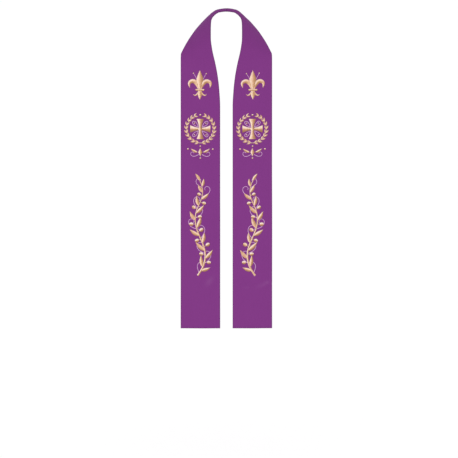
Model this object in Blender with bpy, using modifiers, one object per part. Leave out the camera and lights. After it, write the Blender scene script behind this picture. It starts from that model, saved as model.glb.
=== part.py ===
"""Clerical stole, hanging as it does when it is worn, with nobody inside it.

Two mirrored halves of cloth meet at a seam behind the neck. Each half is a narrow band round the
neck, a shoulder that widens to a corner, and a straight panel down the front to its hem. A lily and
a cross, both embroidered, lie on each panel.

Frame: metres, +Z up, -Y to the wearer's front and +X to the right of somebody who faces the wearer.
The origin is the middle of the neck, at the height where the cloth rests beside it.
"""

from math import cos, pi, sin
from typing import NamedTuple

import bmesh
import bpy
import numpy as np

# Driving dimensions.
CLOTH_THICKNESS = 0.002
SEAM_GAP = 0.0003
PANEL_WIDTH = 0.1414
PANEL_SPACING = 0.0448
PANEL_FLARE = 0.001
HEM_DROP = 1.115
FACETS_ACROSS = 10
SEAM_FACET = 0.001

# The two edges of a panel, measured from the middle of the garment.
PANEL_INSIDE = PANEL_SPACING / 2
PANEL_OUTSIDE = PANEL_INSIDE + PANEL_WIDTH
HEM_OUTSIDE = PANEL_OUTSIDE + PANEL_FLARE

# Embroidered motifs: a stitched pad this thick, lying this far off the cloth.
MOTIF_THICKNESS = 0.0012
MOTIF_GAP = 0.0003
MOTIF_CELL = 0.014
CURVE_STEPS = 5

# The cross, and where both motifs lie: across from the garment's middle, and up from the hem.
CROSS_REACH = 0.036
CROSS_WAIST = 0.0045
CROSS_FLARE = 0.0135
CROSS_ACROSS = (PANEL_INSIDE + PANEL_OUTSIDE) / 2
CROSS_CENTRE_ABOVE_HEM = 0.720
LILY_ACROSS = 0.0945
LILY_FOOT_ABOVE_HEM = 0.825


class Section(NamedTuple):
    """One cut across a half, from its neck edge to its outer edge."""

    place: str
    neck_x: float
    neck_y: float
    neck_z: float
    outer_x: float
    outer_y: float
    outer_z: float
    crown: float
    facets: int


# Where the cloth lies on a general figure, from the seam behind the neck to the hem. The crown is
# how far the middle of the cloth stands out from the straight line between its edges, and facets
# is the number of rows of facets down to the next section.
SECTIONS = (
    Section("centre back", 0.000, 0.052, 0.0178, 0.000, 0.096, 0.014, 0.0104, 3),
    Section("back of neck", 0.022, 0.050, 0.0153, 0.036, 0.091, 0.0094, 0.0106, 3),
    Section("back corner", 0.0415, 0.038, 0.0059, 0.0715, 0.0655, -0.0123, 0.0086, 3),
    Section("side of neck", 0.0543, 0.012, -0.0112, 0.1022, 0.0212, -0.0372, 0.0067, 2),
    Section("shoulder ridge", 0.056, -0.012, -0.0268, 0.1152, -0.004, -0.0508, 0.005, 2),
    Section("collarbone", 0.0563, -0.034, -0.044, 0.1246, -0.018, -0.0631, 0.004, 3),
    Section("upper chest", 0.056, -0.062, -0.075, 0.1405, -0.040, -0.0868, 0.003, 3),
    Section("above the corner", 0.0518, -0.078, -0.108, 0.1569, -0.064, -0.116, 0.003, 2),
    Section("corner", 0.0466, -0.085, -0.133, 0.1633, -0.073, -0.131, 0.003, 2),
    Section("below the corner", 0.0406, -0.092, -0.157, PANEL_OUTSIDE, -0.080, -0.150, 0.003, 3),
    Section("neckline", 0.031, -0.103, -0.208, PANEL_OUTSIDE, -0.089, -0.206, 0.003, 2),
    Section("low neckline", 0.026, -0.111, -0.250, PANEL_OUTSIDE, -0.096, -0.250, 0.003, 3),
    Section("panel top", PANEL_INSIDE, -0.120, -0.316, PANEL_OUTSIDE, -0.103, -0.316, 0.003, 7),
    Section("upper panel", PANEL_INSIDE, -0.131, -0.480, PANEL_OUTSIDE, -0.116, -0.480, 0.003, 12),
    Section("lower panel", PANEL_INSIDE, -0.133, -0.800, 0.1644, -0.123, -0.800, 0.003, 11),
    Section("hem", PANEL_INSIDE, -0.131, -HEM_DROP, HEM_OUTSIDE, -0.127, -HEM_DROP, 0.003, 0),
)


class OutlinePoint(NamedTuple):
    """One point of a motif's outline, a sharp corner or a point that the curve rounds."""

    across: float
    up: float
    sharp: bool


class Motif(NamedTuple):
    """One embroidered shape and where its own zero point lies on a panel."""

    name: str
    outline: list
    across: float
    above_hem: float


# Right half of the lily's outline, from its foot to the tip of its middle petal.
LILY_HALF = (
    OutlinePoint(0.000, 0.000, True),
    OutlinePoint(0.0085, 0.014, False),
    OutlinePoint(0.005, 0.029, True),
    OutlinePoint(0.015, 0.031, True),
    OutlinePoint(0.015, 0.038, True),
    OutlinePoint(0.020, 0.050, False),
    OutlinePoint(0.030, 0.052, False),
    OutlinePoint(0.035, 0.040, True),
    OutlinePoint(0.041, 0.056, False),
    OutlinePoint(0.031, 0.071, False),
    OutlinePoint(0.017, 0.064, False),
    OutlinePoint(0.0085, 0.046, True),
    OutlinePoint(0.0135, 0.073, False),
    OutlinePoint(0.000, 0.105, True),
)


def smooth_rows(stations, rows, at):
    """Reads a table of rows between its stations, on a cubic that never overshoots a row.

    The tangent at a row is the harmonic mean of the slopes on its two sides, and zero where those
    slopes differ in sign. The last tangent is the last slope.
    """
    step = np.diff(stations)[:, None]
    slope = np.diff(rows, axis=0) / step
    before, after = slope[:-1], slope[1:]
    same_way = before * after > 0
    total = np.where(same_way, before + after, 1.0)
    tangent = np.empty_like(rows)
    tangent[1:-1] = np.where(same_way, 2 * before * after / total, 0.0)
    tangent[0], tangent[-1] = slope[0], slope[-1]
    index = np.clip(np.searchsorted(stations, at, side="right") - 1, 0, len(step) - 1)
    width = step[index]
    part = (np.asarray(at)[:, None] - stations[index][:, None]) / width
    rest = 1 - part
    return (
        rows[index] * rest**2 * (1 + 2 * part)
        + rows[index + 1] * part**2 * (1 + 2 * rest)
        + width * part * rest * (rest * tangent[index] - part * tangent[index + 1])
    )


class HalfShape:
    """The outer face of the right half of the cloth, worked out from the sections."""

    def __init__(self, sections):
        table = np.array([section[1:8] for section in sections])
        middle = (table[:, 0:3] + table[:, 3:6]) / 2
        stations = np.concatenate([[0.0], np.cumsum(np.linalg.norm(np.diff(middle, axis=0), axis=1))])
        # Three mirrored rows before the seam make the band pass smoothly behind the neck.
        mirrored = table[3:0:-1] * np.array([-1, 1, 1, -1, 1, 1, 1])
        self.table = np.concatenate([mirrored, table])
        self.stations = np.concatenate([-stations[3:0:-1], stations])
        self.row_stations = stations
        self.length = stations[-1]

    def edges(self, at):
        """Neck edge, outer edge and crown at the stations given, in metres from the seam."""
        rows = smooth_rows(self.stations, self.table, at)
        return rows[:, 0:3], rows[:, 3:6], rows[:, 6:7]

    def outward(self, at):
        """Unit direction away from the wearer: the cross of the runs down and across the cloth."""
        probe = 0.002
        above, below = (sum(self.edges(at + offset)[:2]) / 2 for offset in (-probe, probe))
        neck, outer, _ = self.edges(at)
        direction = np.cross(below - above, outer - neck)
        return direction / np.linalg.norm(direction, axis=1, keepdims=True)

    def points(self, at, share, lift=0.0):
        """Points of the face: share runs from 0 at the neck edge to 1 at the outer edge.

        Each is on the straight line between the edges, plus the crown as a parabola across the
        cloth, plus the lift, both along the outward direction.
        """
        at, share = np.asarray(at, float), np.asarray(share, float)[:, None]
        neck, outer, crown = self.edges(at)
        rise = crown * 4 * share * (1 - share) + lift
        return neck * (1 - share) + outer * share + rise * self.outward(at)

    def on_panel(self, across, above_hem, lift):
        """Points of a panel by their distance from the garment's middle and from the hem."""
        at = self.length - np.asarray(above_hem, float)
        neck, outer, _ = self.edges(at)
        share = (np.asarray(across, float) - neck[:, 0]) / (outer[:, 0] - neck[:, 0])
        return self.points(at, share, lift)


def clear_scene():
    """Empties the file's scene."""
    for item in list(bpy.data.objects):
        bpy.data.objects.remove(item)


def make_material(name, colour, roughness, metallic):
    """A plain finish."""
    material = bpy.data.materials.new(name)
    material.use_nodes = True
    shader = material.node_tree.nodes["Principled BSDF"]
    shader.inputs["Base Color"].default_value = (*colour, 1.0)
    shader.inputs["Roughness"].default_value = roughness
    shader.inputs["Metallic"].default_value = metallic
    return material


def add_object(collection, name, mesh, material):
    """Puts a mesh in the collection as a named, smooth-shaded object."""
    mesh.materials.append(material)
    mesh.shade_smooth()
    item = bpy.data.objects.new(name, mesh)
    collection.objects.link(item)
    return item


def add_wall(item, thickness, offset):
    """Gives an open surface its thickness, inwards for an offset of -1 and outwards for 1."""
    wall = item.modifiers.new("wall", "SOLIDIFY")
    wall.thickness = thickness
    wall.offset = offset
    wall.use_even_offset = True
    wall.use_rim = True


def make_half(collection, shape, name, side, material):
    """One half of the cloth: a loft between the sections, then a wall towards the wearer."""
    spans = zip(SECTIONS, shape.row_stations[:-1], shape.row_stations[1:])
    rows = [np.linspace(start, end, span.facets, endpoint=False) for span, start, end in spans]
    at = np.concatenate(rows + [[shape.length]])
    # A short first facet keeps the wall square to the seam.
    at = np.insert(at, 1, SEAM_FACET)
    share = np.linspace(0, 1, FACETS_ACROSS + 1)
    points = shape.points(np.repeat(at, len(share)), np.tile(share, len(at)))
    points[: len(share), 0] = SEAM_GAP / 2
    points[:, 0] *= side
    corner = np.arange(len(at) - 1)[:, None] * len(share) + np.arange(FACETS_ACROSS)[None, :]
    corner = corner.reshape(-1, 1)
    faces = corner + np.array([[0, len(share), len(share) + 1, 1]])
    mesh = bpy.data.meshes.new(name)
    mesh.from_pydata(points.tolist(), [], faces[:, ::side].tolist())
    mesh.update()
    half = add_object(collection, name, mesh, material)
    add_wall(half, CLOTH_THICKNESS, -1)


def cross_outline():
    """Outline of a cross with four equal arms that widen as the square of the distance out."""
    reach = np.linspace(CROSS_WAIST, CROSS_REACH, CURVE_STEPS)
    spread = (reach - CROSS_WAIST) / (CROSS_REACH - CROSS_WAIST)
    width = CROSS_WAIST + (CROSS_FLARE - CROSS_WAIST) * spread**2
    arm = list(zip(width, reach)) + list(zip(-width[:0:-1], reach[:0:-1]))
    outline = []
    for turn in range(4):
        c, s = cos(turn * pi / 2), sin(turn * pi / 2)
        outline += [OutlinePoint(c * x - s * y, s * x + c * y, True) for x, y in arm]
    return outline


def lily_outline():
    """The lily's right half, then the same points mirrored on the way back to its foot."""
    mirrored = [OutlinePoint(-p.across, p.up, p.sharp) for p in reversed(LILY_HALF[1:-1])]
    return list(LILY_HALF) + mirrored


def flat_motif(name, outline):
    """A filled flat mesh of an outline, drawn as a 2D curve."""
    curve = bpy.data.curves.new(name, "CURVE")
    curve.dimensions = "2D"
    curve.fill_mode = "BOTH"
    spline = curve.splines.new("BEZIER")
    spline.bezier_points.add(len(outline) - 1)
    spline.use_cyclic_u = True
    spline.resolution_u = CURVE_STEPS
    for knot, point in zip(spline.bezier_points, outline):
        knot.co = (point.across, point.up, 0)
        kind = "VECTOR" if point.sharp else "AUTO"
        knot.handle_left_type = knot.handle_right_type = kind
    guide = bpy.data.objects.new(name, curve)
    bpy.context.scene.collection.objects.link(guide)
    graph = bpy.context.evaluated_depsgraph_get()
    mesh = bpy.data.meshes.new_from_object(guide.evaluated_get(graph))
    bpy.data.objects.remove(guide)
    bpy.data.curves.remove(curve)
    mesh.name = name
    return mesh


def cut_in_cells(form):
    """Cuts a flat motif along a square grid, so that its facets can follow the cloth."""
    reach = max(abs(value) for corner in form.verts for value in corner.co)
    lines = np.arange(-reach, reach, MOTIF_CELL)
    for normal in ((1, 0, 0), (0, 1, 0)):
        for line in lines:
            everything = form.verts[:] + form.edges[:] + form.faces[:]
            place = tuple(line * value for value in normal)
            bmesh.ops.bisect_plane(form, geom=everything, plane_co=place, plane_no=normal, dist=1e-6)
    bmesh.ops.remove_doubles(form, verts=form.verts, dist=1e-5)


def make_motif(collection, shape, motif, side, word, material):
    """A stitched pad: its outline is laid on a panel's points, moved out, and given its wall."""
    name = f"{motif.name}_{word}"
    mesh = flat_motif(name, motif.outline)
    form = bmesh.new()
    form.from_mesh(mesh)
    cut_in_cells(form)
    flat = np.array([corner.co for corner in form.verts])
    placed = shape.on_panel(motif.across + flat[:, 0], motif.above_hem + flat[:, 1], MOTIF_GAP)
    placed[:, 0] *= side
    for corner, place in zip(form.verts, placed):
        corner.co = place
    form.normal_update()
    if sum(face.normal.y for face in form.faces) > 0:
        bmesh.ops.reverse_faces(form, faces=form.faces)
    form.to_mesh(mesh)
    form.free()
    pad = add_object(collection, name, mesh, material)
    add_wall(pad, MOTIF_THICKNESS, 1)


def main():
    """Builds the stole's six pieces."""
    clear_scene()
    collection = bpy.data.collections.new("clerical_stole")
    bpy.context.scene.collection.children.link(collection)
    cloth = make_material("purple_cloth", (0.223, 0.045, 0.235), 0.75, 0.0)
    gold = make_material("gold_thread", (0.60, 0.34, 0.12), 0.45, 0.3)
    shape = HalfShape(SECTIONS)
    motifs = (
        Motif("lily", lily_outline(), LILY_ACROSS, LILY_FOOT_ABOVE_HEM),
        Motif("cross", cross_outline(), CROSS_ACROSS, CROSS_CENTRE_ABOVE_HEM),
    )
    for side, word in ((-1, "left"), (1, "right")):
        make_half(collection, shape, f"half_{word}", side, cloth)
        for motif in motifs:
            make_motif(collection, shape, motif, side, word, gold)


main()
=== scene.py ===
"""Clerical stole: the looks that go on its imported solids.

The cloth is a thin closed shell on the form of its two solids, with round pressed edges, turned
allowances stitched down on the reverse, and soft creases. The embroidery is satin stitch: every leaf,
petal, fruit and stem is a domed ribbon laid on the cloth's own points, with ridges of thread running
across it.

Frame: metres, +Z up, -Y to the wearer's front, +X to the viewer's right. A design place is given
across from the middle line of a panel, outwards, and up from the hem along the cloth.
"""

from __future__ import annotations

import logging
import math
from dataclasses import dataclass, field
from enum import Enum

import bmesh
import bpy
import numpy as np
from bpy.types import Material, Node, NodeSocket, NodeTree, Object
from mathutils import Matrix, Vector

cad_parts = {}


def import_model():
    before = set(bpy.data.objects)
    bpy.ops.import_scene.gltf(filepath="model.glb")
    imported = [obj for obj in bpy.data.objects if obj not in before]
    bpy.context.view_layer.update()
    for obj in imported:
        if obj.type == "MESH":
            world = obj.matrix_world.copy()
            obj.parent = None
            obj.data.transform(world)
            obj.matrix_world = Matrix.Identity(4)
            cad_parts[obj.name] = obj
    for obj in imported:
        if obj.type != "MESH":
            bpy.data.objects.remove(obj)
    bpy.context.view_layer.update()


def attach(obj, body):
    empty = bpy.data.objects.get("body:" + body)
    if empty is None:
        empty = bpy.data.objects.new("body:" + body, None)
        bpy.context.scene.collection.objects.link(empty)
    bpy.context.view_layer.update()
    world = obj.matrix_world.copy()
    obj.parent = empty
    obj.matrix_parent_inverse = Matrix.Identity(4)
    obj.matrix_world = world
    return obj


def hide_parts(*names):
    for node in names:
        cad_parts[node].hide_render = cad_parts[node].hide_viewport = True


LOG = logging.getLogger("stole")
Array = np.ndarray
Pair = tuple[float, float]
Triple = tuple[float, float, float]
Inputs = dict[str | int, object]

MM = 0.001
CLOTH_THICKNESS = 2.0 * MM
PANEL_WIDTH = 0.1414
PANEL_SPACING = 0.0448
PANEL_FLARE = 0.001
HEM_DROP = 1.115
PANEL_INSIDE = PANEL_SPACING / 2
PANEL_OUTSIDE = PANEL_INSIDE + PANEL_WIDTH
HEM_OUTSIDE = PANEL_OUTSIDE + PANEL_FLARE
PANEL_MIDDLE = (PANEL_INSIDE + PANEL_OUTSIDE) / 2
CROSS_MIDDLE = 0.720
PLAIN_TONE = 0.3


class Side(Enum):
    """Which half of the stole a piece belongs to, with the sign of its x."""

    LEFT = -1
    RIGHT = 1

    @property
    def word(self) -> str:
        """The side's name in the names of pieces and nodes."""
        return self.name.lower()


class Slot(Enum):
    """The material slots of the record."""

    CLOTH = "purple_cloth"
    GOLD = "gold_thread"
    LILAC = "lilac_thread"


class Profile(Enum):
    """How a band of satin stitch rises between its two margins."""

    DOME = "dome"
    ROOF = "roof"
    LEAF = "leaf"


@dataclass(frozen=True)
class Section:
    """One cut across a half of the cloth, from its neck edge to its outer edge."""

    place: str
    neck: Triple
    outer: Triple
    crown: float


SECTIONS = (
    Section("centre back", (0.000, 0.052, 0.0178), (0.000, 0.096, 0.014), 0.0104),
    Section("back of neck", (0.022, 0.050, 0.0153), (0.036, 0.091, 0.0094), 0.0106),
    Section("back corner", (0.0415, 0.038, 0.0059), (0.0715, 0.0655, -0.0123), 0.0086),
    Section("side of neck", (0.0543, 0.012, -0.0112), (0.1022, 0.0212, -0.0372), 0.0067),
    Section("shoulder ridge", (0.056, -0.012, -0.0268), (0.1152, -0.004, -0.0508), 0.005),
    Section("collarbone", (0.0563, -0.034, -0.044), (0.1246, -0.018, -0.0631), 0.004),
    Section("upper chest", (0.056, -0.062, -0.075), (0.1405, -0.040, -0.0868), 0.003),
    Section("above the corner", (0.0518, -0.078, -0.108), (0.1569, -0.064, -0.116), 0.003),
    Section("corner", (0.0466, -0.085, -0.133), (0.1633, -0.073, -0.131), 0.003),
    Section("below the corner", (0.0406, -0.092, -0.157), (PANEL_OUTSIDE, -0.080, -0.150), 0.003),
    Section("neckline", (0.031, -0.103, -0.208), (PANEL_OUTSIDE, -0.089, -0.206), 0.003),
    Section("low neckline", (0.026, -0.111, -0.250), (PANEL_OUTSIDE, -0.096, -0.250), 0.003),
    Section("panel top", (PANEL_INSIDE, -0.120, -0.316), (PANEL_OUTSIDE, -0.103, -0.316), 0.003),
    Section("upper panel", (PANEL_INSIDE, -0.131, -0.480), (PANEL_OUTSIDE, -0.116, -0.480), 0.003),
    Section("lower panel", (PANEL_INSIDE, -0.133, -0.800), (0.1644, -0.123, -0.800), 0.003),
    Section("hem", (PANEL_INSIDE, -0.131, -HEM_DROP), (HEM_OUTSIDE, -0.127, -HEM_DROP), 0.003),
)


@dataclass(frozen=True)
class Mark:
    """One soft long mark on a half of the cloth.

    Its middle lies so many metres down from the seam behind the neck and at this share of the width
    from the neck edge outwards. It runs down the cloth, turned outwards by so many degrees.
    """

    down: float
    share: float
    length: float
    width: float
    turn: float

    def cover(self, down: Array, share: Array, width: Array) -> Array:
        """How far the mark covers each place, from 0 to 1: a bell curve along it times one across.

        Args:
            down: metres from the seam behind the neck.
            share: share of the width from the neck edge.
            width: the cloth's width there, in metres.

        Returns:
            One number a place.
        """
        turn = math.radians(self.turn)
        run, over = down - self.down, (share - self.share) * width
        along = run * math.cos(turn) + over * math.sin(turn)
        aside = over * math.cos(turn) - run * math.sin(turn)
        return np.exp(-((2 * along / self.length) ** 2) - (2 * aside / self.width) ** 2)


@dataclass(frozen=True)
class Crease(Mark):
    """A soft trough of this depth, or a ridge where the depth is less than 0."""

    depth: float


@dataclass(frozen=True)
class PaintedHighlight(Mark):
    """A painted highlight on a small ridge of the face: the tone is a little lighter there, by this
    share of the plain tone.
    """

    amount: float


@dataclass(frozen=True)
class Sway:
    """One slow wave down a hanging panel, which starts at its top and is fullest at the hem.

    Its lean is how much of it tips the two edges opposite ways; the rest moves them together.
    """

    pitch: float
    phase: float
    height: float
    lean: float


CREASES = {
    Side.LEFT: (
        # Radial puckers along the inside of the curve behind the neck.
        Crease(0.030, 0.16, 0.026, 0.009, 84, 0.4 * MM),
        Crease(0.047, 0.20, 0.034, 0.010, 96, 0.6 * MM),
        Crease(0.062, 0.14, 0.024, 0.009, 88, 0.4 * MM),
        Crease(0.078, 0.22, 0.036, 0.012, 78, 0.7 * MM),
        Crease(0.097, 0.15, 0.026, 0.011, 92, 0.5 * MM),
        # Drag lines over the shoulder, from the neck towards the corner.
        Crease(0.022, 0.66, 0.060, 0.013, 8, 1.0 * MM),
        Crease(0.112, 0.62, 0.085, 0.016, 12, 1.3 * MM),
        Crease(0.150, 0.34, 0.080, 0.018, -16, 1.0 * MM),
        Crease(0.196, 0.74, 0.090, 0.020, -26, 1.2 * MM),
        Crease(0.228, 0.44, 0.110, 0.022, -30, -0.7 * MM),
        # Long soft hollows down the panel.
        Crease(0.300, 0.22, 0.120, 0.034, 12, 0.8 * MM),
        Crease(0.420, 0.72, 0.280, 0.052, 4, 1.1 * MM),
        Crease(0.590, 0.24, 0.320, 0.056, -3, 1.0 * MM),
        Crease(0.790, 0.80, 0.280, 0.046, 2, 1.2 * MM),
        Crease(0.960, 0.34, 0.330, 0.056, 5, -1.1 * MM),
        Crease(1.079, 0.26, 0.030, 0.013, 66, -0.5 * MM),
        Crease(1.150, 0.70, 0.240, 0.050, -4, 1.4 * MM),
        Crease(1.215, 0.18, 0.160, 0.038, 3, 1.0 * MM),
    ),
    Side.RIGHT: (
        Crease(0.026, 0.18, 0.030, 0.009, 94, 0.5 * MM),
        Crease(0.041, 0.14, 0.022, 0.008, 86, 0.3 * MM),
        Crease(0.058, 0.21, 0.036, 0.011, 98, 0.6 * MM),
        Crease(0.083, 0.17, 0.028, 0.012, 82, 0.6 * MM),
        Crease(0.104, 0.22, 0.030, 0.012, 90, 0.4 * MM),
        Crease(0.016, 0.72, 0.070, 0.012, -7, 0.9 * MM),
        Crease(0.070, 0.68, 0.070, 0.014, -10, 1.2 * MM),
        Crease(0.140, 0.66, 0.074, 0.018, 12, 1.1 * MM),
        Crease(0.186, 0.36, 0.090, 0.020, -22, 1.1 * MM),
        Crease(0.244, 0.76, 0.085, 0.024, -32, -0.8 * MM),
        Crease(0.340, 0.55, 0.150, 0.038, 9, 0.8 * MM),
        Crease(0.480, 0.24, 0.290, 0.054, -4, 1.2 * MM),
        Crease(0.660, 0.74, 0.330, 0.050, 3, 1.0 * MM),
        Crease(0.850, 0.28, 0.250, 0.056, -6, -1.0 * MM),
        Crease(1.010, 0.80, 0.280, 0.044, 2, 1.1 * MM),
        Crease(1.087, 0.83, 0.034, 0.012, -58, -0.5 * MM),
        Crease(1.104, 0.36, 0.028, 0.014, 80, -0.4 * MM),
        Crease(1.140, 0.26, 0.230, 0.046, 5, 1.3 * MM),
        Crease(1.220, 0.74, 0.150, 0.040, -3, 1.0 * MM),
    ),
}
# Painted highlights: lighter spots in the tone on small ridges of the face near the hem.
PAINTED_HIGHLIGHTS = {
    Side.LEFT: (PaintedHighlight(1.078, 0.27, 0.038, 0.020, 36, 0.9),),
    Side.RIGHT: (
        PaintedHighlight(1.091, 0.77, 0.048, 0.015, -66, 0.6),
        PaintedHighlight(1.083, 0.87, 0.014, 0.011, -60, 0.6),
        PaintedHighlight(1.101, 0.36, 0.024, 0.009, 90, 0.35),
    ),
}
SWAYS = {
    Side.LEFT: (Sway(0.41, 0.6, 1.5 * MM, 0.9), Sway(0.67, 2.1, 1.3 * MM, 0.3)),
    Side.RIGHT: (Sway(0.47, 2.9, 1.6 * MM, 0.8), Sway(0.74, 0.4, 1.2 * MM, 0.2)),
}
SWAY_START = 0.36
SWAY_FULL = 0.95


def smoothstep(x: Array) -> Array:
    """Rises smoothly from 0 to 1 while x does: three x squared less two x cubed."""
    x = np.clip(x, 0, 1)
    return x * x * (3 - 2 * x)


def close_at_ends(count: int) -> Array:
    """Places from -1 to 1, close at both ends: minus the cosine of even steps over half a turn."""
    return -np.cos(np.linspace(0, math.pi, count))


def unit(angle: float) -> Array:
    """The flat direction at this angle, in radians from the outward direction."""
    return np.array([math.cos(angle), math.sin(angle)])


def distances(path: Array) -> Array:
    """Distance along a path from its first point to each of its points: a running sum of steps."""
    return np.concatenate([[0.0], np.cumsum(np.linalg.norm(np.diff(path, axis=0), axis=1))])


def interval(stations: Array, at: Array) -> Array:
    """Number of the station before each place, the last but one at most."""
    return np.clip(np.searchsorted(stations, at, side="right") - 1, 0, len(stations) - 2)


def smooth_rows(stations: Array, rows: Array, at: Array) -> Array:
    """Reads a table of rows between its stations, on a cubic that never overshoots a row.

    The tangent at a row is the harmonic mean of the slopes on its two sides, and zero where those
    slopes differ in sign. The last tangent is the last slope.

    Args:
        stations: where each row stands, rising.
        rows: one row of values for each station.
        at: where to read the table.

    Returns:
        One row of values for each place read.
    """
    step = np.diff(stations)[:, None]
    slope = np.diff(rows, axis=0) / step
    before, after = slope[:-1], slope[1:]
    same_way = before * after > 0
    total = np.where(same_way, before + after, 1.0)
    tangent = np.empty_like(rows)
    tangent[1:-1] = np.where(same_way, 2 * before * after / total, 0.0)
    tangent[0], tangent[-1] = slope[0], slope[-1]
    index = interval(stations, at)
    width = step[index]
    part = (at[:, None] - stations[index][:, None]) / width
    rest = 1 - part
    return (
        rows[index] * rest**2 * (1 + 2 * part)
        + rows[index + 1] * part**2 * (1 + 2 * rest)
        + width * part * rest * (rest * tangent[index] - part * tangent[index + 1])
    )


def even_steps(path: Array, spacing: float) -> Array:
    """The same path with its points evenly spaced, at least four of them.

    Args:
        path: points in order, one a row.
        spacing: the most that two neighbours may lie apart, in metres.

    Returns:
        Points read from straight lines between the path's own.
    """
    run = distances(path)
    count = max(4, int(math.ceil(run[-1] / spacing)) + 1)
    at = np.linspace(0, run[-1], count)
    return np.stack([np.interp(at, run, path[:, axis]) for axis in range(path.shape[1])], axis=1)


def natural_spline(knots: Array) -> Array:
    """A smooth path through a few points, with no bend at its two ends.

    It is a cubic between each two knots, and its second derivatives solve the usual tridiagonal
    system.

    Args:
        knots: points in order, one a row.

    Returns:
        Forty points for each knot, one a row.
    """
    gap = np.linalg.norm(np.diff(knots, axis=0), axis=1)
    place = distances(knots)
    count = len(knots)
    system = np.eye(count)
    known = np.zeros_like(knots)
    inner = np.arange(1, count - 1)
    system[inner, inner - 1] = gap[:-1]
    system[inner, inner] = 2 * (gap[:-1] + gap[1:])
    system[inner, inner + 1] = gap[1:]
    known[1:-1] = 6 * np.diff(np.diff(knots, axis=0) / gap[:, None], axis=0)
    bend = np.linalg.solve(system, known)
    fine = np.linspace(0, place[-1], 40 * count)
    index = interval(place, fine)
    h = gap[index][:, None]
    left, right = place[index + 1][:, None] - fine[:, None], fine[:, None] - place[index][:, None]
    return (
        (bend[index] * left**3 + bend[index + 1] * right**3) / (6 * h)
        + (knots[index] / h - bend[index] * h / 6) * left
        + (knots[index + 1] / h - bend[index + 1] * h / 6) * right
    )


def turning_path(start: Pair | Array, heading: float, turns: Array, length: float) -> Array:
    """A flat path whose heading changes as it goes: the running sum of short steps along it.

    Args:
        start: first point.
        heading: first direction, in radians from the outward direction.
        turns: what is added to the heading at each of its points, in radians.
        length: length of the path, in metres.

    Returns:
        One point for each of the turns.
    """
    angle = heading + turns
    step = length / (len(turns) - 1)
    moves = np.stack([np.cos(angle), np.sin(angle)], axis=1)[:-1] * step
    return np.concatenate([[start], np.asarray(start) + np.cumsum(moves, axis=0)])


def place_on(path: Array, along: float) -> tuple[Array, float]:
    """A place on a path and the path's heading there.

    Args:
        path: points in order, one a row.
        along: share of the way along it.

    Returns:
        The nearest point before the place, and the heading from it to the next.
    """
    index = min(int(along * (len(path) - 1)), len(path) - 2)
    run = path[index + 1] - path[index]
    return path[index], math.atan2(run[1], run[0])


@dataclass
class ClothForm:
    """The outer face of one half of the cloth, as a function of two parameters.

    down runs from 0 at the seam behind the neck to the half's length at the hem, in metres along
    the middle of the cloth. share runs from 0 at the neck edge to 1 at the outer edge.
    """

    side: Side
    probe: float = 2 * MM
    table: Array = field(init=False)
    stations: Array = field(init=False)
    length: float = field(init=False)

    def __post_init__(self) -> None:
        """Sets the sections out along the cloth, with three mirrored ones before the seam."""
        rows = np.array([(*s.neck, *s.outer, s.crown) for s in SECTIONS])
        run = distances((rows[:, 0:3] + rows[:, 3:6]) / 2)
        mirror = np.array([-1, 1, 1, -1, 1, 1, 1])
        self.table = np.concatenate([rows[3:0:-1] * mirror, rows])
        self.stations = np.concatenate([-run[3:0:-1], run])
        self.length = float(run[-1])

    def edges(self, down: Array) -> tuple[Array, Array, Array]:
        """Neck edge, outer edge and crown at each place down the cloth."""
        rows = smooth_rows(self.stations, self.table, down)
        return rows[:, 0:3], rows[:, 3:6], rows[:, 6]

    def outward(self, down: Array) -> Array:
        """Direction away from the wearer: the cross of the runs down and across the cloth.

        Args:
            down: metres from the seam behind the neck.

        Returns:
            One unit vector a row.
        """
        above, below = (sum(self.edges(down + step)[:2]) / 2 for step in (-self.probe, self.probe))
        neck, outer, _ = self.edges(down)
        direction = np.cross(below - above, outer - neck)
        return direction / np.linalg.norm(direction, axis=1, keepdims=True)

    def widths(self, down: Array) -> Array:
        """Straight width of the cloth at each place down it."""
        neck, outer, _ = self.edges(down)
        return np.linalg.norm(outer - neck, axis=1)

    def folds(self, down: Array, share: Array) -> Array:
        """How far the creases and the slow waves move the face outwards.

        Each crease is minus its depth times its cover. Each wave is a sine of the way down, times
        a smoothstep from the panel's top, and tips about the middle of the cloth by its lean.

        Args:
            down: metres from the seam behind the neck.
            share: 0 at the neck edge, 1 at the outer edge.

        Returns:
            Their sum, one number a place.
        """
        width = self.widths(down)
        rise = np.zeros_like(down)
        for crease in CREASES[self.side]:
            rise -= crease.depth * crease.cover(down, share, width)
        growth = smoothstep((down - SWAY_START) / (SWAY_FULL - SWAY_START))
        for sway in SWAYS[self.side]:
            wave = sway.height * np.sin(2 * math.pi * down / sway.pitch + sway.phase)
            rise += growth * wave * (1 - sway.lean + sway.lean * (2 * share - 1))
        return rise

    def points(self, down: Array, share: Array, lift: Array) -> Array:
        """Points of the face, in the row frame.

        Each is on the straight line between the two edges, plus the crown as a parabola across
        the cloth, plus the creases and the lift, all along the outward direction.

        Args:
            down: metres from the seam behind the neck.
            share: 0 at the neck edge, 1 at the outer edge.
            lift: metres off the face.

        Returns:
            One point a row.
        """
        neck, outer, crown = self.edges(down)
        rise = crown * 4 * share * (1 - share) + self.folds(down, share) + lift
        flat = neck * (1 - share[:, None]) + outer * share[:, None]
        place = flat + rise[:, None] * self.outward(down)
        place[:, 0] *= self.side.value
        return place

    def on_panel(self, design: Array, lift: Array) -> Array:
        """Points of a panel by their place in the design.

        Args:
            design: one row of (across from the panel's middle line, up from the hem) a point.
            lift: metres off the face.

        Returns:
            One point a row, in the row frame.
        """
        down = self.length - design[:, 1]
        neck, outer, _ = self.edges(down)
        share = (PANEL_MIDDLE + design[:, 0] - neck[:, 0]) / (outer[:, 0] - neck[:, 0])
        return self.points(down, share, lift)


def grid_quads(number: Array) -> Array:
    """One quad between each four neighbours of a grid of numbered points, four numbers a row."""
    corners = number[:-1, :-1], number[1:, :-1], number[1:, 1:], number[:-1, 1:]
    return np.stack(corners, axis=-1).reshape(-1, 4)


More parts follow.
